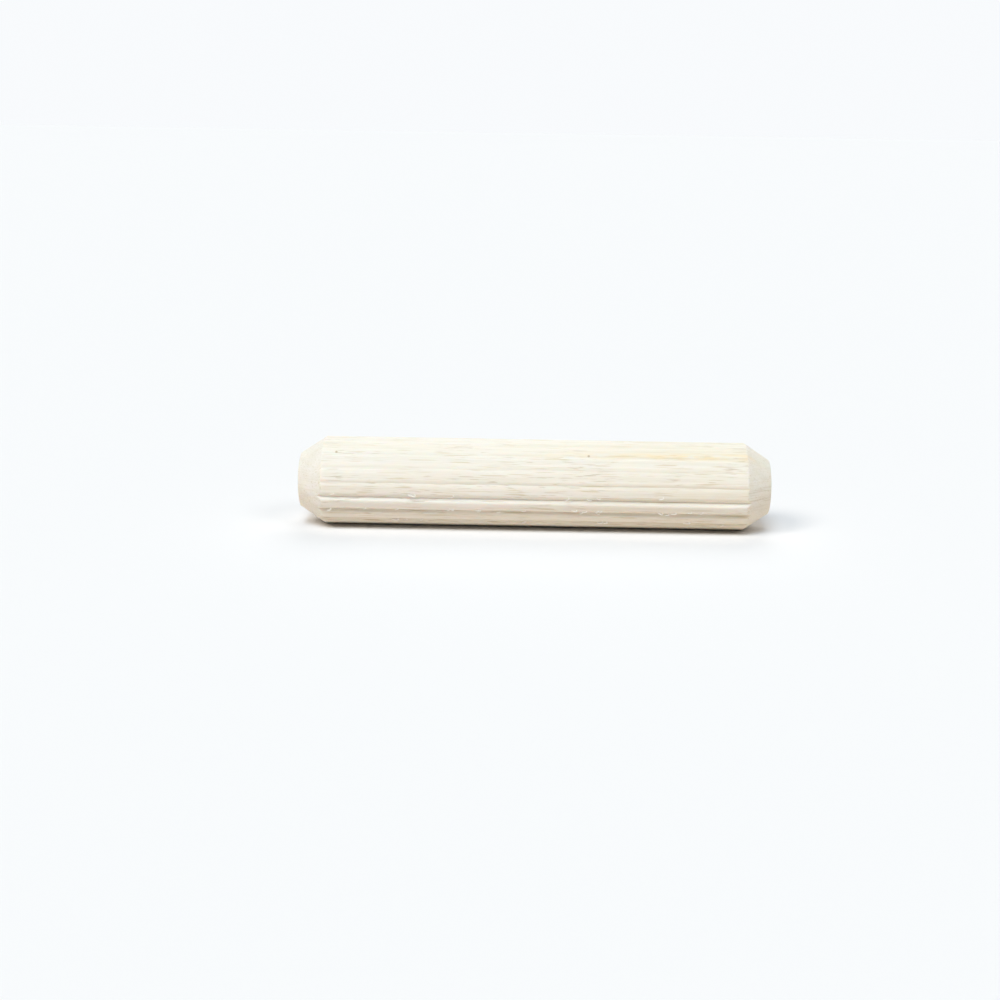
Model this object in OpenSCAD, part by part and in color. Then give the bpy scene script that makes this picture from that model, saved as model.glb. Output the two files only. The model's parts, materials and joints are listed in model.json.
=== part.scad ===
// Fluted dowel pin: a turned wooden rod with a chamfer at each end and straight flutes
// all the way along it. It is one piece. The pin lies along X on the plane z = 0, with a
// flute straight down, so that it rests on the two lands beside that flute. Millimetres.

/* [Pin] */
// Diameter over the lands, which is the size of the hole that the pin fills
pin_d = 9.525; // [8:0.005:14]
// Length over both end faces
pin_len = 50.8; // [30:0.1:80]

/* [Ends] */
// Diameter of the flat face at each end
face_d = 5.9; // [4:0.1:6.8]
// Angle between each chamfer's cone and the pin's axis
chamfer_angle = 33.5; // [22:0.5:50]

/* [Flutes] */
// Number of flutes, spaced evenly round the pin
flute_count = 18; // [12:1:20]
// Width of a flute's mouth, from land to land
flute_w = 0.82; // [0.6:0.01:1.1]
// Depth of a flute's root below the lands
flute_depth = 0.37; // [0.25:0.01:0.5]
// Radius of the shoulder that rolls from a land into a flute
shoulder_r = 0.19; // [0.05:0.01:0.25]

/* [Hidden] */
$fn = 96;

// The blank's half-length, and how much of it each cone takes up
pin_r = pin_d / 2;
face_r = face_d / 2;
half_len = pin_len / 2;
chamfer_len = (pin_r - face_r) / tan(chamfer_angle);

// The angle from one flute to the next, and from a flute's middle to the edge of its mouth
pitch = 360 / flute_count;
mouth_angle = asin(flute_w / pin_d);

// Each shoulder reaches this far past the land and the flank that it blends, so that its
// arc crosses both of them in one clean edge
bite = 0.0001;

// The flutes' roots lie on one radius, and the shoulders' centres on another, which makes
// each shoulder tangent to its land
root_at = pin_r - flute_depth;
shoulder_at = pin_r - shoulder_r + bite;

// Where a shoulder's centre lies from the root beside it, outwards and to the side. The
// flank leans away from the radius by the angle that makes it tangent to the shoulder.
root_out = shoulder_at * cos(mouth_angle) - root_at;
root_side = shoulder_at * sin(mouth_angle);
flank_gap = shoulder_r - bite;
flank_lean = acos(flank_gap / norm([root_out, root_side])) - atan2(root_out, root_side);

// The pin rests on the shoulders on either side of the flute that faces down
axis_height = shoulder_at * cos(mouth_angle) + shoulder_r;

// How far the flutes' cutters run past the wood
past = 1;

// The point at a radius and an angle
function polar(radius, angle) = radius * [cos(angle), sin(angle)];

// The turned blank, along Z: a rod with a cone and a flat face at each end
module blank() {
    rotate_extrude()
        polygon([
            [0, -half_len],
            [face_r, -half_len],
            [pin_r, chamfer_len - half_len],
            [pin_r, half_len - chamfer_len],
            [face_r, half_len],
            [0, half_len]
        ]);
}

// Half of a flute's section, from its root on the X axis out past the land
module half_flute() {
    shoulder = polar(shoulder_at, mouth_angle);
    difference() {
        polygon([
            [root_at, 0],
            shoulder + polar(flank_gap, flank_lean - 90),
            shoulder,
            polar(pin_r + past, mouth_angle),
            [pin_r + past, 0]
        ]);
        translate(shoulder)
            circle(r = shoulder_r);
    }
}

// One flute's cutter, along Z
module flute() {
    linear_extrude(height = pin_len + 2 * past, center = true)
        union() {
            half_flute();
            mirror([0, 1])
                half_flute();
        }
}

// The whole pin, turned to lie along X
module dowel_pin() {
    color("burlywood")
        translate([0, 0, axis_height])
            rotate([0, 90, 0])
                difference() {
                    blank();
                    for (k = [0:flute_count - 1])
                        rotate(k * pitch)
                            flute();
                }
}

dowel_pin();
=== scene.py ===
# %% [markdown]
# # A fluted dowel pin
# The real object is one short rod of pale wood, most likely beech. It was turned round,
# chamfered at both ends and pressed or cut by a ring of teeth, which left straight flutes all
# the way along it. This script dresses the measured model of that pin: it keeps the model's
# sizes, and adds the flattened lands, the uneven flutes, the torn fibres and the wood.

# %% Load the measured model
import json
import math

import bpy
from mathutils import Matrix, Vector


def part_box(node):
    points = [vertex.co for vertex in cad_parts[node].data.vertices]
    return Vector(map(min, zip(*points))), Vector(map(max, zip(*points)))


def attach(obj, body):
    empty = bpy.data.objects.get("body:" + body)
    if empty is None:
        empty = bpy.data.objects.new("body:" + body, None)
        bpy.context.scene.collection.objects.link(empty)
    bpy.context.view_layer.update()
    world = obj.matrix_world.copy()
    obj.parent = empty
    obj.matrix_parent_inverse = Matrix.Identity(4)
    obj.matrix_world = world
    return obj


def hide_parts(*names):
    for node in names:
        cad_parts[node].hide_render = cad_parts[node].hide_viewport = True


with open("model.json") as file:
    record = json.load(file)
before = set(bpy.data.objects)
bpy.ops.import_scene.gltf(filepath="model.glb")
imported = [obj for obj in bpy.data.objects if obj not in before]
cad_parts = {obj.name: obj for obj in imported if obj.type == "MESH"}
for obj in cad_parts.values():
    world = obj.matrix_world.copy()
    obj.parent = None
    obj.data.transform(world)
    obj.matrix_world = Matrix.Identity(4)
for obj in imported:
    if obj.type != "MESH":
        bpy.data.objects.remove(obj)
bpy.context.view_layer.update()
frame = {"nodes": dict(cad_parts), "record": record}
low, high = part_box("dowel_pin")
print("the pin's box in mm:", [round(side * 1000, 3) for side in high - low])

# %% [markdown]
# Every size comes from the measured model, so the looks can't drift away from it. The
# record holds the radius over the lands, the length of the straight part and the height of
# the axis. The end face's radius is read off the model's own corners. Only the number of
# flutes is stated here, since the record gives it in words and not as a value.

# %% Read the pin's sizes
MM = 0.001
FLUTES = 18
shank = next(m for m in frame["record"]["mounts"] if m["name"] == "shank")
land_r = shank["dims"]["r_mm"] * MM
straight_len = shank["dims"]["length_mm"] * MM
axis_z = shank["pos_m"][2]
pin_len = high.x - low.x
chamfer_len = (pin_len - straight_len) / 2


def radius_of(corner):
    return math.hypot(corner.y, corner.z - axis_z)


corners = [v.co for v in frame["nodes"]["dowel_pin"].data.vertices]
face_r = max(radius_of(c) for c in corners if c.x > high.x - 0.01 * MM)
print(f"lands {land_r / MM:.3f} mm, end face {face_r / MM:.3f} mm, chamfer {chamfer_len / MM:.3f} mm")

# %% [markdown]
# ## The camera
# It looks at the pin from the front and a little above, as someone bending down to a bench
# would, and it is turned by about a degree, so the pin's right end sits lower. A Track To
# constraint could aim it, but would keep it level, so a matrix holds its place and that turn
# together. Its distance is a multiple of the pin's diameter, and the lens follows from how
# large the pin looks. Shifting the lens moves the pin in the frame and leaves its
# perspective alone.

# %% Place the camera
ELEVATION = 13.7
YAW = 0.35
ROLL = 0.93
CAMERA_AWAY = 17 * 2 * land_r
PIN_WIDTH_SHARE = 0.0872
SENSOR = 36.0
SHIFT_X = -0.0346
SHIFT_Y = -0.0171
NEAREST = 0.01


def add_object(name, data):
    """An object at the origin, linked to the scene."""
    made = bpy.data.objects.new(name, data)
    bpy.context.scene.collection.objects.link(made)
    return made


def place_camera():
    up = math.radians(ELEVATION)
    side = math.radians(YAW)
    level = math.cos(up)
    towards = Vector((math.sin(side) * level, -math.cos(side) * level, math.sin(up)))
    camera = add_object("camera", bpy.data.cameras.new("camera"))
    target = Vector((0, 0, axis_z))
    aim = (-towards).to_track_quat("-Z", "Y").to_matrix().to_4x4()
    roll = Matrix.Rotation(math.radians(ROLL), 4, "Z")
    camera.matrix_world = Matrix.Translation(target + towards * CAMERA_AWAY) @ aim @ roll
    camera.data.sensor_width = SENSOR
    camera.data.lens = SENSOR * PIN_WIDTH_SHARE * CAMERA_AWAY / (2 * land_r)
    camera.data.shift_x = SHIFT_X
    camera.data.shift_y = SHIFT_Y
    camera.data.clip_start = NEAREST
    bpy.context.scene.camera = camera
    return camera


camera = place_camera()
print(f"lens {camera.data.lens:.1f} mm, {CAMERA_AWAY * 1000:.0f} mm from the pin")

# %% [markdown]
# ## Wiring nodes
# Both the shape and the wood are node trees. They could be drawn by hand in the node editor,
# but a script can be read from top to bottom and changed. A small helper keeps it short: a
# Wire is a number on its way through a tree, and Python's + - * / make the Math nodes for it.

# %% Helpers that wire nodes


def plug(tree, value, socket):
    """Sets a socket to a plain value, or links a Wire or an output socket to it."""
    if isinstance(value, Wire):
        value = value.socket
    if isinstance(value, bpy.types.NodeSocket):
        tree.links.new(value, socket)
    else:
        socket.default_value = value


def add_node(tree, kind, inputs=None, **settings):
    """Makes a node, sets its options, then fills its inputs by name or by number."""
    node = tree.nodes.new(kind)
    for name, value in settings.items():
        setattr(node, name, value)
    for name, value in (inputs or {}).items():
        plug(tree, value, node.inputs[name])
    return node


class Wire:
    """A number in a node tree."""

    def __init__(self, tree, socket):
        self.tree = tree
        self.socket = socket

    def math(self, operation, *others):
        values = dict(enumerate((self, *others)))
        node = add_node(self.tree, "ShaderNodeMath", values, operation=operation)
        return Wire(self.tree, node.outputs[0])

    def __add__(self, other):
        return self.math("ADD", other)

    def __sub__(self, other):
        return self.math("SUBTRACT", other)

    def __mul__(self, other):
        return self.math("MULTIPLY", other)

    def __truediv__(self, other):
        return self.math("DIVIDE", other)

    def flip(self):
        """1 minus this."""
        return self * -1.0 + 1.0

    def ramp(self, start, end, low=0.0, high=1.0, curve="LINEAR"):
        """Maps start..end to low..high, and holds the ends."""
        inputs = {"Value": self, "From Min": start, "From Max": end, "To Min": low, "To Max": high}
        node = add_node(self.tree, "ShaderNodeMapRange", inputs, interpolation_type=curve, clamp=True)
        return Wire(self.tree, node.outputs["Result"])


# %% Helpers for places and noise


def split(tree, vector):
    """The X, Y and Z of a vector, as three wires."""
    node = add_node(tree, "ShaderNodeSeparateXYZ", {0: vector})
    return tuple(Wire(tree, node.outputs[axis]) for axis in "XYZ")


def join(tree, x, y, z):
    """A vector made of three wires or numbers."""
    return add_node(tree, "ShaderNodeCombineXYZ", {"X": x, "Y": y, "Z": z}).outputs[0]


def position(tree):
    """Where each point of the geometry is."""
    return tree.nodes.new("GeometryNodeInputPosition").outputs[0]


def from_line(first, second):
    """How far a point is from a line along the pin, from its two distances across the line."""
    return (first * first + second * second).math("SQRT")


def noise(tree, x, y, z, detail=2.0, roughness=0.5):
    """Noise at a point given by three wires, from about 0 to 1."""
    place = join(tree, x, y, z)
    inputs = {"Vector": place, "Scale": 1.0, "Detail": detail, "Roughness": roughness}
    node = add_node(tree, "ShaderNodeTexNoise", inputs, noise_dimensions="3D")
    return Wire(tree, node.outputs[0])


# %% Helpers for whole trees


def add_inputs(tree, values, kind):
    """Gives a Geometry Nodes tree named inputs of one kind, each with its value."""
    for name, value in values.items():
        socket = tree.interface.new_socket(name, in_out="INPUT", socket_type=kind)
        socket.default_value = value


def open_tree(tree):
    """Adds the material input and the geometry output, and returns the node of all inputs."""
    tree.interface.new_socket("Wood", in_out="INPUT", socket_type="NodeSocketMaterial")
    tree.interface.new_socket("Geometry", in_out="OUTPUT", socket_type="NodeSocketGeometry")
    return tree.nodes.new("NodeGroupInput")


def close_tree(tree, geometry, given):
    """Ends a tree with plain geometry in the given material."""
    real = add_node(tree, "GeometryNodeRealizeInstances", {"Geometry": geometry})
    inputs = {"Geometry": real.outputs[0], "Material": given.outputs["Wood"]}
    wood = add_node(tree, "GeometryNodeSetMaterial", inputs)
    result = tree.nodes.new("NodeGroupOutput")
    tree.links.new(wood.outputs[0], result.inputs[0])


def mesh_from_tree(name, tree, material):
    """Runs a Geometry Nodes tree on an empty mesh and keeps the plain mesh it makes."""
    maker = add_object(name + "_maker", bpy.data.meshes.new(name + "_maker"))
    modifier = maker.modifiers.new("nodes", "NODES")
    modifier.node_group = tree
    for item in tree.interface.items_tree:
        if item.in_out == "INPUT" and item.socket_type == "NodeSocketMaterial":
            modifier[item.identifier] = material
    graph = bpy.context.evaluated_depsgraph_get()
    mesh = bpy.data.meshes.new_from_object(maker.evaluated_get(graph))
    mesh.name = name
    bpy.data.objects.remove(maker)
    return add_object(name, mesh)


# %% [markdown]
# ## The shape of the pin
# The flutes could be cut from a cylinder with Boolean modifiers, but no two of them are
# quite alike, and each cut would leave long thin faces. The pin follows a rule, though, so
# Geometry Nodes can make it in one piece, by wrapping a flat grid round the axis. One way
# across the grid runs along the pin, from the middle of one end face, over its rim and
# chamfer, along the flutes and down to the middle of the other face. The other way runs once
# round. At each point the wood is as thick as the smaller of two radii: that of the turned
# blank, and that of the fluted section. That makes the scallops where the flutes run out in
# the chamfers, as it does on a real pin.

# %% Set and lay the grid
ROWS_STRAIGHT = 176
ROWS_CHAMFER = 26
ROWS_FACE = 7
ROWS = ROWS_STRAIGHT + 2 * (ROWS_CHAMFER + ROWS_FACE)
AROUND_FLUTE = 20


def lay_grid(tree):
    """The grid, how far along each point lies (-0.5 to 0.5), and how far round (0 to 1)."""
    size = {
        "Size X": 1.0,
        "Size Y": 1.0,
        "Vertices X": ROWS + 1,
        "Vertices Y": FLUTES * AROUND_FLUTE + 1,
    }
    grid = add_node(tree, "GeometryNodeMeshGrid", size)
    along, around, _ = split(tree, position(tree))
    return grid.outputs["Mesh"], along, around + 0.5


print(f"a grid of {ROWS} rows along by {FLUTES * AROUND_FLUTE} round")

# %% [markdown]
# The blank is what the lathe left: a cylinder with a cone and a flat face at each end. Each
# part of it takes up its own share of the grid's rows, so that the short chamfers get rows
# close together and their scallops come out crisp.

# %% Turn the blank


def turned_blank(along, take):
    """Where each point is along the pin, and the blank's radius there."""
    from_middle = along.math("ABSOLUTE") * 2.0
    straight_share = ROWS_STRAIGHT / ROWS
    chamfer_share = (ROWS_STRAIGHT + 2 * ROWS_CHAMFER) / ROWS
    half_straight = take["Straight Length"] / 2.0
    reach = from_middle.ramp(0.0, straight_share, 0.0, half_straight)
    reach = reach + from_middle.ramp(straight_share, chamfer_share, 0.0, take["Chamfer Length"])
    drop = take["Land Radius"] - take["Face Radius"]
    cone = from_middle.ramp(straight_share, chamfer_share, 0.0, drop)
    face = from_middle.ramp(chamfer_share, 1.0, 0.0, take["Face Radius"])
    blank_r = take["Land Radius"] - cone - face
    return reach * along.math("SIGN"), blank_r


slope = math.degrees(math.atan2(land_r - face_r, chamfer_len))
print(f"the chamfers slope {slope:.1f} degrees to the axis")

# %% [markdown]
# The teeth leave a notch with a flattened land on each side of it. No two flutes on a real
# pin are quite alike, so each one's depth wavers and its root wanders a little. Round the
# upper front the flutes hardly show, and they are taken to be much shallower there. A
# displacement texture could do that too, but a formula keeps the roots crisp. The depths
# below are measured from the flattened land carried on over the notch, so a root ends up
# 0.045 mm less deep under the lands' own radius.

# %% Cut the flutes
DEEP_FLUTE = 0.41 * MM
SHALLOW_FLUTE = 0.11 * MM
SHALLOW_SIDE = math.radians(-140)
LAND_FLAT = 0.065 * MM
LAND_SINK = 0.02 * MM
NOTCH_FROM = 0.35
SHALLOW_NOTCH_FROM = 0.50
NOTCH_POWER = 1.6
CROWDING = 1.5
WANDER = 0.10
WANDERS_PER_M = 60.0
WAVER = 0.4
WAVERS_PER_M = 140.0


def fluted_section(tree, x, turn, take):
    """Each point's angle round the pin, its radius in the section, and how far down a groove."""
    # Across one flute pitch: 0 on the middle of a land, 1 on the root beside it. The points
    # crowd towards the root, where the section turns sharply.
    pitches = turn * take["Flutes"]
    across = pitches.math("FRACT") * 2.0 - 1.0
    off_land = across.math("ABSOLUTE").flip().math("POWER", CROWDING).flip()
    which = (pitches + 0.5).math("FLOOR").math("MODULO", float(FLUTES))

    # Each flute wanders from side to side, in a part of the noise that is its own
    wander = (noise(tree, x * WANDERS_PER_M, which * 3.7, 1.0, detail=2.0) - 0.5) * off_land
    land = pitches.math("FLOOR") + 0.5 + across.math("SIGN") * off_land * 0.5
    angle = (land + wander * WANDER) / take["Flutes"] * math.tau

    # Its depth wavers, and is less on the shallow side
    waver = noise(tree, x * WAVERS_PER_M, which * 5.3, 9.0, detail=3.0) - 0.5
    side = which / take["Flutes"] * math.tau - SHALLOW_SIDE
    shallow_share = side.math("COSINE").ramp(0.4, 0.9, curve="SMOOTHSTEP")
    depth = take["Deep Flute"] + (take["Shallow Flute"] - take["Deep Flute"]) * shallow_share
    depth = depth * (waver * WAVER + 1.0)

    # The section itself: a flattened land, and a notch that steepens towards its root
    notch_from = shallow_share * (SHALLOW_NOTCH_FROM - NOTCH_FROM) + NOTCH_FROM
    notch = off_land.ramp(notch_from, 1.0).math("POWER", NOTCH_POWER)
    pressed = off_land * off_land * LAND_FLAT - LAND_SINK
    fluted_r = take["Land Radius"] + pressed - notch * depth
    return angle, fluted_r, off_land * depth / take["Deep Flute"]


for flute_depth in (DEEP_FLUTE, SHALLOW_FLUTE):
    root = flute_depth + LAND_SINK - LAND_FLAT
    print(f"a flute's root lies {root / MM:.3f} mm under the lands' radius")

# %% [markdown]
# The smaller of the two radii is taken with a little blending, which softens the edges where
# the flutes run out in the chamfers, as handling does. Then the grid is wrapped round the
# axis, and the doubled points along its seam and on its end faces are merged.

# %% Wrap the grid round the axis
RIM_BLEND = 0.03 * MM
SEAM = 0.001 * MM


def pin_tree():
    tree = bpy.data.node_groups.new("fluted_pin", "GeometryNodeTree")
    sizes = {
        "Land Radius": land_r,
        "Face Radius": face_r,
        "Straight Length": straight_len,
        "Chamfer Length": chamfer_len,
        "Axis Height": axis_z,
        "Flutes": float(FLUTES),
        "Deep Flute": DEEP_FLUTE,
        "Shallow Flute": SHALLOW_FLUTE,
    }
    add_inputs(tree, sizes, "NodeSocketFloat")
    given = open_tree(tree)
    take = {name: Wire(tree, given.outputs[name]) for name in sizes}

    grid, along, turn = lay_grid(tree)
    x, blank_r = turned_blank(along, take)
    angle, fluted_r, down_groove = fluted_section(tree, x, turn, take)
    radius = blank_r.math("SMOOTH_MIN", fluted_r, RIM_BLEND).math("MAXIMUM", 0.0)

    # A flute faces straight down
    y = radius * angle.math("SINE")
    z = take["Axis Height"] - radius * angle.math("COSINE")
    inputs = {"Geometry": grid, "Position": join(tree, x, y, z)}
    moved = add_node(tree, "GeometryNodeSetPosition", inputs)
    # How far down a flute each point lies, which the wood uses for painted shade in the deep roots
    inputs = {"Geometry": moved.outputs[0], "Name": "groove", "Value": down_groove}
    kind = {"data_type": "FLOAT", "domain": "POINT"}
    groove = add_node(tree, "GeometryNodeStoreNamedAttribute", inputs, **kind)
    inputs = {"Geometry": groove.outputs[0], "Distance": SEAM}
    closed = add_node(tree, "GeometryNodeMergeByDistance", inputs)
    inputs = {"Geometry": closed.outputs[0], "Shade Smooth": True}
    smooth = add_node(tree, "GeometryNodeSetShadeSmooth", inputs)
    close_tree(tree, smooth.outputs[0], given)
    return tree


# %% [markdown]
# ## The wood
# The pin is pale beech, left raw. It could be painted as an image, but an image has to be
# laid out over every flute and rim. Solid patterns on Object coordinates need no layout, and
# the flutes and chamfers cut through them as a tool would. The grain runs along the pin, so
# every pattern is long in X and narrow across it. Two things follow the surface instead: end
# grain shows where the surface faces along the pin, and the roots of the deep flutes are
# painted a little darker and warmer, as painted shade in the creases.

# %% Helpers for materials


def new_material(name):
    """A material, its node tree and its shader."""
    material = bpy.data.materials.new(name)
    material.use_nodes = True
    tree = material.node_tree
    return material, tree, tree.nodes["Principled BSDF"]


def blend(tree, share, first, second, kind="MIX"):
    """Mixes two colours, each a plain colour or another node's output."""
    inputs = {0: share, 6: first, 7: second}
    node = add_node(tree, "ShaderNodeMix", inputs, data_type="RGBA", blend_type=kind)
    return node.outputs[2]


def streaks(tree, spot, length, width, detail=2.0, shift=0.0):
    """Noise drawn out along the pin: about length long and width wide, in metres."""
    x, y, z = spot
    return noise(tree, x / length + shift, y / width, z / width, detail)


# %% [markdown]
# The growth rings are cylinders round the tree's heart, which was far outside this small
# pin. A Wave Texture makes rings too, but Math nodes set where in each ring its thin darker
# line sits, which is near its end. The distance from the heart wavers with the streaks, so
# that no ring is a ruled line. Over the rings, the wood yellows towards the right end. From
# the front face towards the top and the back it turns yellower, and darker as painted shade
# that evens out the stronger light on the top. A warm stain follows one line of the grain.

# %% Mix the ground colour
PALE_WOOD = (0.884, 0.857, 0.802, 1)
LATE_WOOD = (0.866, 0.826, 0.742, 1)
# Yellower wood, also used as the painted shade towards the top and the back
YELLOW_AND_SHADE_WOOD = (0.812, 0.764, 0.645, 1)
STAIN = (0.860, 0.730, 0.500, 1)
RING_WIDTH = 1.7 * MM
RING_WAVER = 1.6 * MM
HEART_Y = -55 * MM
HEART_Z = 20 * MM
LATE_FROM = 0.45
LATE_TO = 0.93
LATE_SHARE = 0.75
RIGHT_YELLOW = 0.35
# Painted shade: how far the top and the back turn darker and yellower
TOP_AND_BACK_SHADE = 0.55
STAIN_Y = -2.7 * MM
STAIN_Z = axis_z + 3.7 * MM
STAIN_CORE = 0.05 * MM
STAIN_EDGE = 0.75 * MM


def late_wood(tree, spot):
    """1 in the thin dark line that ends each growth ring, and 0 in the pale wood."""
    _, y, z = spot
    waver = streaks(tree, spot, 30 * MM, 3.0 * MM) - 0.5
    from_heart = from_line(y - HEART_Y, z - HEART_Z)
    ring = ((from_heart + waver * RING_WAVER) / RING_WIDTH).math("FRACT")
    return ring.ramp(LATE_FROM, LATE_TO, curve="SMOOTHSTEP") * ring.ramp(LATE_TO, 1.0, 1.0, 0.0)


def ground_colour(tree, spot, late):
    x, y, z = spot
    colour = blend(tree, late * LATE_SHARE, PALE_WOOD, LATE_WOOD)

    # Yellower towards the right end; towards the top and back also darker, as painted shade
    to_right = x.ramp(-0.10 * pin_len, 0.30 * pin_len, 0.0, RIGHT_YELLOW)
    yellow_and_top_shade = to_right + y.ramp(-4.2 * MM, -2.4 * MM, 0.0, TOP_AND_BACK_SHADE)
    bands = streaks(tree, spot, 18 * MM, 1.5 * MM, shift=4.0).ramp(0.25, 0.6, 0.75, 1.1)
    colour = blend(tree, yellow_and_top_shade * bands, colour, YELLOW_AND_SHADE_WOOD)

    # The stain, strongest near the right end
    off_stain = from_line(y - STAIN_Y, z - STAIN_Z)
    stain = off_stain.ramp(STAIN_CORE, STAIN_EDGE, 1.0, 0.0, curve="SMOOTHSTEP")
    stain = stain * x.ramp(-0.1 * pin_len, 0.33 * pin_len)
    stain = stain * streaks(tree, spot, 2.5 * MM, 0.6 * MM, shift=9.0).ramp(0.38, 0.56)
    return blend(tree, stain, colour, STAIN)


heart_away = math.hypot(HEART_Y, HEART_Z - axis_z)
print(f"rings {RING_WIDTH / MM:.1f} mm wide, their heart {heart_away / MM:.0f} mm from the axis")

# %% [markdown]
# Four kinds of mark lie on the ground colour. Beech has broad and fine streaks of fibre, the
# short brown dashes of its rays, which come in patches, and a few longer thin lines where
# vessels were cut lengthwise. This pin also has two small dark flecks near the front of its
# top. The many are made of noise drawn out along the grain, of which a narrow ramp keeps only
# the peaks. The two flecks are each put in their place, as noise can't be told where to go.

# %% Draw the grain
RAY_BROWN = (0.480, 0.390, 0.240, 1)
VESSEL_TAN = (0.640, 0.560, 0.380, 1)
VESSEL_SHARE = 0.6
FLECK_SHARE = 0.75
FLECK_CORE = 0.09 * MM
FLECK_EDGE = 0.17 * MM
FLECKS = [
    (5.75 * MM, -2.90 * MM, axis_z + 3.74 * MM),
    (-21.2 * MM, -2.90 * MM, axis_z + 3.74 * MM),
]


def shade_fibres(tree, colour, broad, fine):
    """Darkens and lightens the colour in streaks, and blue the most."""
    shade = broad.ramp(0.32, 0.68, 0.95, 1.01) * fine.ramp(0.3, 0.7, 0.97, 1.02)
    blue = shade.math("POWER", 1.5)
    tone = add_node(tree, "ShaderNodeCombineColor", {0: shade, 1: shade, 2: blue})
    return blend(tree, 1.0, colour, tone.outputs[0], "MULTIPLY")


def ray_dashes(tree, spot):
    dashes = streaks(tree, spot, 1.8 * MM, 0.10 * MM, detail=1.0, shift=11.0)
    patches = streaks(tree, spot, 8 * MM, 2.0 * MM, detail=1.0, shift=3.0)
    return dashes.ramp(0.62, 0.70) * patches.ramp(0.38, 0.62, 0.05, 0.55)


def add_flecks(tree, coordinates, colour):
    for fleck in FLECKS:
        inputs = {0: coordinates.outputs["Object"], 1: fleck}
        gap = add_node(tree, "ShaderNodeVectorMath", inputs, operation="DISTANCE")
        near = Wire(tree, gap.outputs["Value"]).ramp(FLECK_CORE, FLECK_EDGE, FLECK_SHARE, 0.0)
        colour = blend(tree, near, colour, RAY_BROWN)
    return colour


print(f"{len(FLECKS)} dark flecks, each {2 * FLECK_EDGE / MM:.2f} mm across")

# %% [markdown]
# The end faces and chamfers cut across the fibres. The saw left the faces a little duller,
# with the growth rings and the open pores showing. Cutting the chamfers tore fine dark lines
# in them. They could be given materials of their own, but then each would stop at a hard
# edge. Here the one material asks how far the surface faces along the pin.

# %% Colour the ends, and paint shade in the flutes
END_GRAIN = (0.830, 0.805, 0.745, 1)
# The dark line of the growth rings on the ends, and the painted shade in the flutes' roots
RING_LINE_AND_GROOVE_SHADE = (0.770, 0.690, 0.560, 1)
END_SHARE = 0.7
RING_SHARE = 0.35
TORN_SHARE = 0.28
PORE_SHARE = 0.4
# How strongly the painted shade darkens the deep flutes' roots
GROOVE_SHADE_SHARE = 0.55


def torn_lines(tree, spot):
    """Fine lines across the chamfers, most near the axis and towards the right end."""
    x, y, z = spot
    torn = noise(tree, x / (6 * MM), y / (2.5 * MM), z / (0.13 * MM), 1.0).ramp(0.48, 0.66)
    torn = torn * (z - axis_z).math("ABSOLUTE").ramp(0.8 * MM, 1.8 * MM, 1.0, 0.2)
    return torn * x.ramp(-0.4 * pin_len, 0.4 * pin_len, 0.4, 1.0)


def colour_ends(tree, spot, colour, late, ends, cut_across, on_chamfer, pores):
    colour = blend(tree, ends * END_SHARE, colour, END_GRAIN)
    colour = blend(tree, late * cut_across * RING_SHARE, colour, RING_LINE_AND_GROOVE_SHADE)
    colour = blend(tree, torn_lines(tree, spot) * on_chamfer * TORN_SHARE, colour, RAY_BROWN)
    return blend(tree, pores * cut_across * PORE_SHARE, colour, RAY_BROWN)


# Painted shade: the roots of the deep flutes are made darker and warmer
def paint_groove_shade(tree, colour):
    painted_shade_attribute = add_node(tree, "ShaderNodeAttribute", attribute_name="groove")
    groove = Wire(tree, painted_shade_attribute.outputs["Fac"]).ramp(0.6, 1.0)
    return blend(tree, groove * GROOVE_SHADE_SHARE, colour, RING_LINE_AND_GROOVE_SHADE)


# %% [markdown]
# Raw wood is dry, and it lets some light in, which comes out again close by, the red
# furthest. Its surface is finely uneven. That could be modelled, but it is so small that a
# bump, which only bends the light, does as well. It follows the same streaks, rays and pores
# as the colour.

# %% Put the wood together
SHEEN = 0.3
LIGHT_INSIDE = 0.8
LIGHT_REACH = (1.0, 0.75, 0.55)
LIGHT_DEPTH = 0.5 * MM
BUMP_HEIGHT = 0.05 * MM


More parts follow.
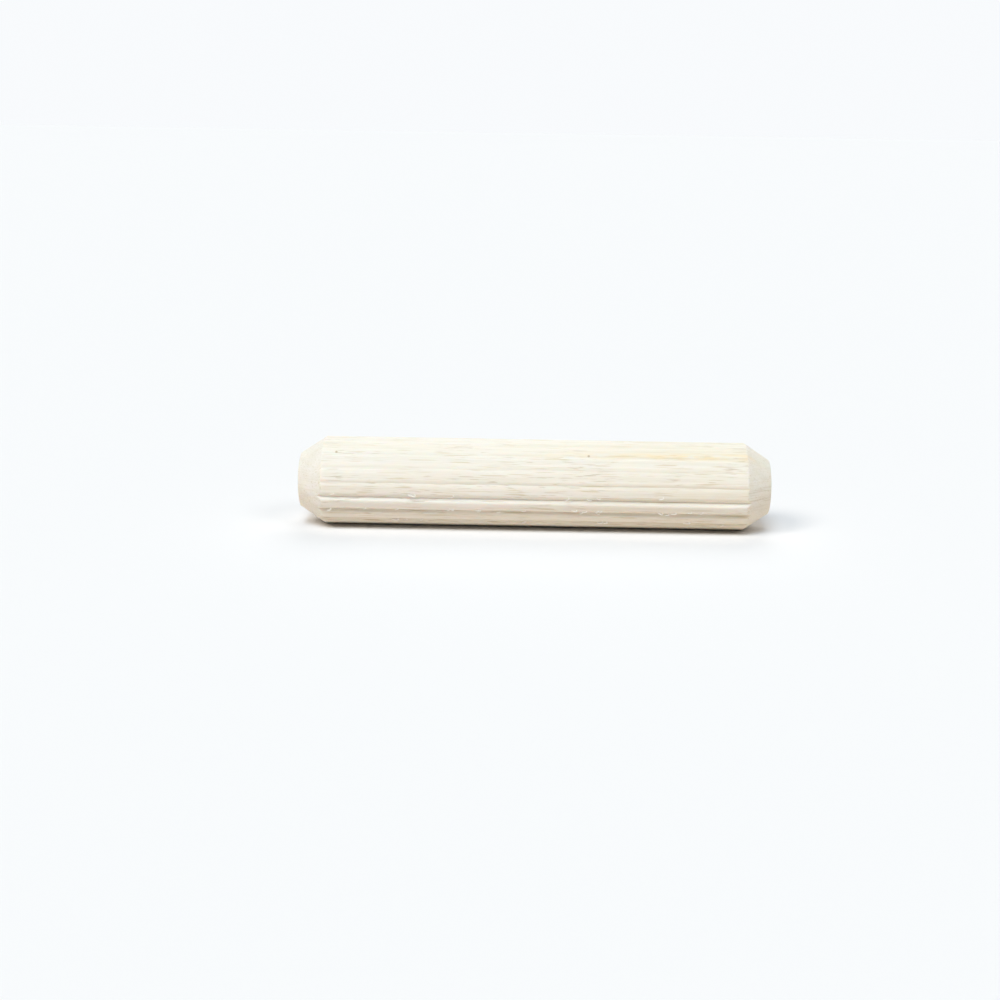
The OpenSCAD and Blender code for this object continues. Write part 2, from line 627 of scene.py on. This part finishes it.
def beech():
    material, tree, shader = new_material("beech")
    coordinates = tree.nodes.new("ShaderNodeTexCoord")
    spot = split(tree, coordinates.outputs["Object"])
    late = late_wood(tree, spot)
    colour = ground_colour(tree, spot, late)

    broad = streaks(tree, spot, 16 * MM, 0.45 * MM, detail=3.0, shift=2.0)
    fine = streaks(tree, spot, 6 * MM, 0.14 * MM, detail=2.0, shift=7.0)
    colour = shade_fibres(tree, colour, broad, fine)
    rays = ray_dashes(tree, spot)
    colour = blend(tree, rays, colour, RAY_BROWN)
    vessels = streaks(tree, spot, 4 * MM, 0.14 * MM, detail=0.0, shift=21.0).ramp(0.70, 0.76)
    colour = blend(tree, vessels * VESSEL_SHARE, colour, VESSEL_TAN)
    colour = add_flecks(tree, coordinates, colour)

    facing_x = split(tree, coordinates.outputs["Normal"])[0].math("ABSOLUTE")
    ends = facing_x.ramp(0.3, 0.95)
    cut_across = facing_x.ramp(0.7, 0.95)
    on_chamfer = facing_x.ramp(0.3, 0.5) * cut_across.flip()
    x, y, z = spot
    pores = noise(tree, x / (0.5 * MM), y / (0.07 * MM), z / (0.07 * MM), 1.0).ramp(0.62, 0.75)
    colour = colour_ends(tree, spot, colour, late, ends, cut_across, on_chamfer, pores)
    # Painted shade in the roots of the deep flutes
    colour = paint_groove_shade(tree, colour)
    plug(tree, colour, shader.inputs["Base Color"])

    plug(tree, fine.ramp(0.3, 0.7, 0.72, 0.60), shader.inputs["Roughness"])
    shader.inputs["Specular IOR Level"].default_value = SHEEN
    shader.inputs["Subsurface Weight"].default_value = LIGHT_INSIDE
    shader.inputs["Subsurface Radius"].default_value = LIGHT_REACH
    shader.inputs["Subsurface Scale"].default_value = LIGHT_DEPTH
    height = (fine * 0.6 + broad * 0.6) * ends.flip()
    height = height - rays * 0.6 - pores * cut_across * 0.8
    inputs = {"Height": height, "Distance": BUMP_HEIGHT, "Strength": 1.0}
    bump = add_node(tree, "ShaderNodeBump", inputs)
    plug(tree, bump.outputs[0], shader.inputs["Normal"])
    return material


# %% Make the pin
wood = beech()
pin = mesh_from_tree("pin", pin_tree(), wood)
print("pin:", len(pin.data.polygons), "faces, and", len(wood.node_tree.nodes), "nodes of wood")
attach(pin, "root")
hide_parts("dowel_pin")

# %% [markdown]
# ## Torn fibres
# The teeth that made the flutes left short pale fibres standing along their edges, on the
# lower flutes of both sides. They could be combed as hair, but that would have to be turned
# into a mesh. They are all alike but for size, turn and place, so one bent fibre is made once
# and Geometry Nodes set a copy of it on each of many random points. A fixed seed keeps them
# where they are.

# %% Bend one fibre
FIBRE_SIDES = 5
FIBRE_STEPS = 7
FIBRE_RADIUS = 0.085
BEND_START = (-0.5, 0, 0)
BEND_MIDDLE = (0.55, 0.05, 0.22)
BEND_END = (0.15, 0.38, 0.05)


def one_fibre(tree):
    """A hooked fibre about 1 long round its bend, mostly along X, thin at both ends."""
    bend = {
        "Resolution": FIBRE_STEPS,
        "Start": BEND_START,
        "Middle": BEND_MIDDLE,
        "End": BEND_END,
    }
    arc = add_node(tree, "GeometryNodeCurveQuadraticBezier", bend)
    along = Wire(tree, tree.nodes.new("GeometryNodeSplineParameter").outputs["Factor"])
    middle = along * along.flip() * 4.0
    inputs = {"Curve": arc.outputs[0], "Radius": middle * 0.8 + 0.2}
    taper = add_node(tree, "GeometryNodeSetCurveRadius", inputs)
    size = {"Resolution": FIBRE_SIDES, "Radius": FIBRE_RADIUS}
    ring = add_node(tree, "GeometryNodeCurvePrimitiveCircle", size)
    inputs = {"Curve": taper.outputs[0], "Profile Curve": ring.outputs[0], "Fill Caps": True}
    return add_node(tree, "GeometryNodeCurveToMesh", inputs).outputs[0]


# %% Scatter the fibres
FIBRES = 84
FIBRE_SEED = 4
FIBRE_SHORT = 0.5 * MM
FIBRE_LONG = 1.0 * MM
FIBRE_ROOT = 0.06 * MM
LOWEST_FLUTE = 1.6
HIGHEST_FLUTE = 4.4


def chance(tree, low, high, seed):
    """A random number between low and high for each point."""
    node = add_node(tree, "FunctionNodeRandomValue", {2: low, 3: high, 8: seed}, data_type="FLOAT")
    return Wire(tree, node.outputs[1])


def fibre_places(tree, take):
    """Random places on the flutes' shoulders, but not where the pin touches the floor."""
    seed = take["Seed"]
    flute = chance(tree, LOWEST_FLUTE, HIGHEST_FLUTE, seed).math("ROUND")
    side = chance(tree, -1.0, 1.0, seed + 1.0).math("SIGN")
    angle = side * (flute + chance(tree, 0.0, 0.25, seed + 2.0)) / float(FLUTES) * math.tau
    radius = take["Land Radius"] - FIBRE_ROOT
    x = chance(tree, -0.5, 0.5, seed + 3.0) * take["Straight Length"]
    y = radius * angle.math("SINE")
    z = take["Axis Height"] - radius * angle.math("COSINE")
    return join(tree, x, y, z)


def turn_and_scale(tree, take):
    """A random turn, which leaves a fibre roughly along the pin, and a mostly short length."""
    seed = take["Seed"]
    share = chance(tree, 0.0, 1.0, seed + 4.0).math("POWER", 2.0)
    length = take["Shortest"] + (take["Longest"] - take["Shortest"]) * share
    roll = chance(tree, -0.3, 0.3, seed + 5.0)
    pitch = chance(tree, -0.03, 0.03, seed + 6.0)
    yaw = chance(tree, -0.8, 0.8, seed + 7.0)
    return join(tree, roll, pitch, yaw), join(tree, length, length, length)


print(f"{FIBRES} fibres, about {FIBRE_SHORT / MM:.1f} to {FIBRE_LONG / MM:.1f} mm round their bends")

# %% [markdown]
# Each copy is first laid as if on the very top of the pin. It is then turned about its own
# place, by as much as that place is round the pin from the top, so that it stands outwards.

# %% Stand the fibres on the pin


def fibre_tree():
    tree = bpy.data.node_groups.new("torn_fibres", "GeometryNodeTree")
    sizes = {
        "Land Radius": land_r,
        "Straight Length": straight_len,
        "Axis Height": axis_z,
        "Shortest": FIBRE_SHORT,
        "Longest": FIBRE_LONG,
    }
    add_inputs(tree, sizes, "NodeSocketFloat")
    add_inputs(tree, {"Fibres": FIBRES, "Seed": FIBRE_SEED}, "NodeSocketInt")
    given = open_tree(tree)
    take = {name: Wire(tree, given.outputs[name]) for name in (*sizes, "Seed")}

    inputs = {"Count": given.outputs["Fibres"], "Position": fibre_places(tree, take)}
    points = add_node(tree, "GeometryNodePoints", inputs)
    turned, scale = turn_and_scale(tree, take)
    inputs = {
        "Points": points.outputs[0],
        "Instance": one_fibre(tree),
        "Rotation": turned,
        "Scale": scale,
    }
    copies = add_node(tree, "GeometryNodeInstanceOnPoints", inputs)

    _, y, z = split(tree, position(tree))
    outward = (z - take["Axis Height"]).math("ARCTAN2", y) - math.pi / 2
    inputs = {
        "Instances": copies.outputs[0],
        "Rotation": join(tree, outward, 0.0, 0.0),
        "Pivot Point": position(tree),
        "Local Space": False,
    }
    stood = add_node(tree, "GeometryNodeRotateInstances", inputs)
    close_tree(tree, stood.outputs[0], given)
    return tree


# %% Make the fibres
TORN_DARK = (0.92, 0.89, 0.83, 1)
TORN_LIGHT = (0.96, 0.95, 0.92, 1)
TORN_ROUGH = 0.6


def torn_wood():
    """The same beech, freshly torn, so paler."""
    material, tree, shader = new_material("torn_beech")
    coordinates = tree.nodes.new("ShaderNodeTexCoord")
    spot = split(tree, coordinates.outputs["Object"])
    shade = streaks(tree, spot, 1.0 * MM, 0.2 * MM).ramp(0.3, 0.7)
    plug(tree, blend(tree, shade, TORN_DARK, TORN_LIGHT), shader.inputs["Base Color"])
    shader.inputs["Roughness"].default_value = TORN_ROUGH
    return material


fibres = mesh_from_tree("torn_fibres", fibre_tree(), torn_wood())
print("torn fibres:", len(fibres.data.polygons), "faces")
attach(fibres, "root")

# %% [markdown]
# ## The floor and the light
# The pin lies on a plain white table. A sheet that curves up behind the pin could be its
# backdrop, but a floor so wide that it runs out of sight does as well and is one face. It is
# two colours at once: white where the camera looks at it, and cream for the light that
# bounces off it, which warms the underside of the pin.

# %% Lay the floor
FLOOR_HALF = 6.0
FLOOR_WHITE = (0.862, 0.862, 0.862, 1)
FLOOR_CREAM = (0.90, 0.80, 0.72, 1)
FLOOR_ROUGH = 0.9


def seen(tree):
    """1 where the camera looks, straight or through gloss or glass, and 0 for the light."""
    path = tree.nodes.new("ShaderNodeLightPath")
    straight = Wire(tree, path.outputs["Is Camera Ray"])
    glossy = straight.math("MAXIMUM", path.outputs["Is Glossy Ray"])
    return glossy.math("MAXIMUM", path.outputs["Is Transmission Ray"])


def lay_floor():
    mesh = bpy.data.meshes.new("floor")
    half = FLOOR_HALF
    spots = [(-half, -half, low.z), (half, -half, low.z), (half, half, low.z), (-half, half, low.z)]
    mesh.from_pydata(spots, [], [(0, 1, 2, 3)])
    floor = add_object("floor", mesh)
    material, tree, shader = new_material("floor_white")
    plug(tree, blend(tree, seen(tree), FLOOR_CREAM, FLOOR_WHITE), shader.inputs["Base Color"])
    shader.inputs["Roughness"].default_value = FLOOR_ROUGH
    shader.inputs["Specular IOR Level"].default_value = 0.0
    mesh.materials.append(material)


lay_floor()
print(f"the floor is {2 * FLOOR_HALF:.0f} m wide, at z = {low.z * 1000:.3f} mm")

# %% [markdown]
# Four soft lamps light the pin: a main one from above the camera, one on each side and a wide
# one behind. They are suns and not area lamps, since a sun is as strong at one end of the pin
# as at the other, and its angle makes it soft. The main one is bluish and the others warm.
# Where they all reach, their colours nearly cancel out. In the shadow beside the right end,
# where the strong warm lamp on the left is hidden, the light turns a little bluish.

# %% Hang the lights
KEY_FROM = Vector((-0.1, -0.577, 1.0))
LEFT_FROM = Vector((-0.7, -0.577, 1.0))
RIGHT_FROM = Vector((0.8, -0.577, 1.0))
BACK_FROM = Vector((0.1, 0.84, 1.0))
SKYLIGHT = (0.777, 0.887, 1.0)
WARM = (1.0, 0.93, 0.84)
HALF_WARM = (1.0, 0.955, 0.89)
LAMP_AWAY = 0.4
LAMPS = [
    ("key", KEY_FROM, 1.824, 24, SKYLIGHT),
    ("left", LEFT_FROM, 1.25, 24, WARM),
    ("right", RIGHT_FROM, 0.50, 24, HALF_WARM),
    ("back", BACK_FROM, 0.97, 40, HALF_WARM),
]


def hang_lamp(name, direction, power, spread, colour):
    """A very distant soft lamp: power in W/m2 on a surface that faces it, spread in degrees."""
    light = bpy.data.lights.new(name, "SUN")
    light.energy = power
    light.color = colour
    light.angle = math.radians(spread)
    lamp = add_object(name, light)
    lamp.rotation_euler = (-direction).to_track_quat("-Z", "Y").to_euler()
    lamp.location = direction * LAMP_AWAY


for lamp in LAMPS:
    hang_lamp(*lamp)
    print(f"lamp {lamp[0]}: {lamp[2]} W/m2 over {lamp[3]} degrees")

# %% [markdown]
# The room itself gives only a faint bluish light, so that the shadows stay dark. A picture of
# a room could give it, but nothing here is smooth enough to mirror one, so one plain colour
# will do. The camera sees a near white backdrop in its place.

# %% Fill the room
ROOM_LIGHT = 0.08
SKY = (0.80, 0.90, 1.00, 1)
BACKDROP = (0.943, 0.961, 0.980, 1)


def fill_room():
    world = bpy.data.worlds.new("room")
    bpy.context.scene.world = world
    world.use_nodes = True
    tree = world.node_tree
    back = tree.nodes["Background"]
    plug(tree, seen(tree).ramp(0.0, 1.0, ROOM_LIGHT, 1.0), back.inputs["Strength"])
    plug(tree, blend(tree, seen(tree), SKY, BACKDROP), back.inputs["Color"])


fill_room()
bpy.context.scene.view_settings.view_transform = "Standard"
print(f"the room gives {ROOM_LIGHT} of the backdrop's strength")
